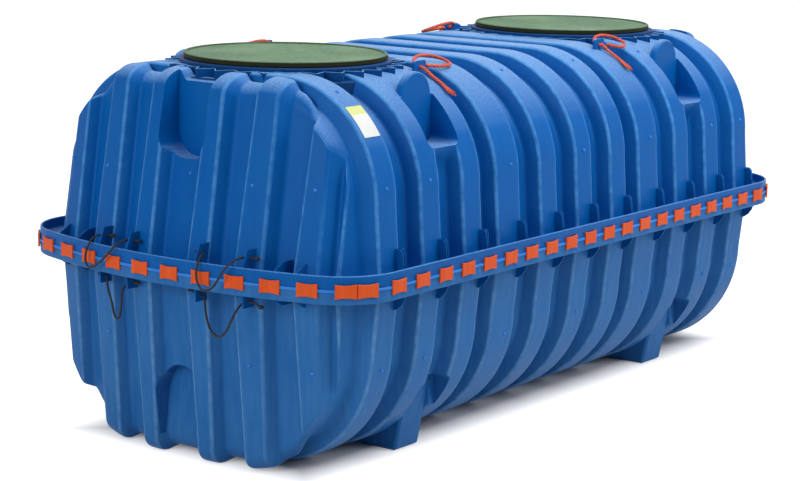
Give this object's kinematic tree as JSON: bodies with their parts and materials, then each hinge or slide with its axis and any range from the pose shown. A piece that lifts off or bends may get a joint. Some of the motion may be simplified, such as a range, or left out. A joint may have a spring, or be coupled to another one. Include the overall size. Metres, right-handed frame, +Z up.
{
  "type": "horizontal water tank",
  "caption": "Low horizontal plastic water tank in two ribbed halves clipped at a flanged seam, with round screwed lids on raised turrets and rope handles",
  "frame": {"origin": "on the ground under the middle of the tank", "axes": "X along the tank, Y across it, Z up"},
  "size_m": [3.2405, 1.58, 1.389],
  "materials": {
    "black_rope": "braided",
    "blue_moulding": "moulded, satin",
    "green_lid": "moulded, matte",
    "orange_clip": "moulded, satin",
    "orange_rope": "braided"
  },
  "bodies": {
    "root": {"black_rope_left_lower": "black_rope", "black_rope_left_upper": "black_rope", "black_rope_right_lower": "black_rope", "black_rope_right_upper": "black_rope", "corner_clips": "orange_clip", "far_side_clips": "orange_clip", "left_end_clips": "orange_clip", "left_lid": "green_lid", "left_turret": "blue_moulding", "lower_far_side": "blue_moulding", "lower_floor": "blue_moulding", "lower_left_end": "blue_moulding", "lower_near_side": "blue_moulding", "lower_right_end": "blue_moulding", "near_side_clips": "orange_clip", "orange_rope_far_left": "orange_rope", "orange_rope_far_right": "orange_rope", "orange_rope_near_left": "orange_rope", "orange_rope_near_right": "orange_rope", "right_end_clips": "orange_clip", "right_lid": "green_lid", "right_turret": "blue_moulding", "upper_far_shoulder": "blue_moulding", "upper_far_side": "blue_moulding", "upper_left_end": "blue_moulding", "upper_near_shoulder": "blue_moulding", "upper_near_side": "blue_moulding", "upper_right_end": "blue_moulding", "upper_roof": "blue_moulding"}
  },
  "joints": []
}
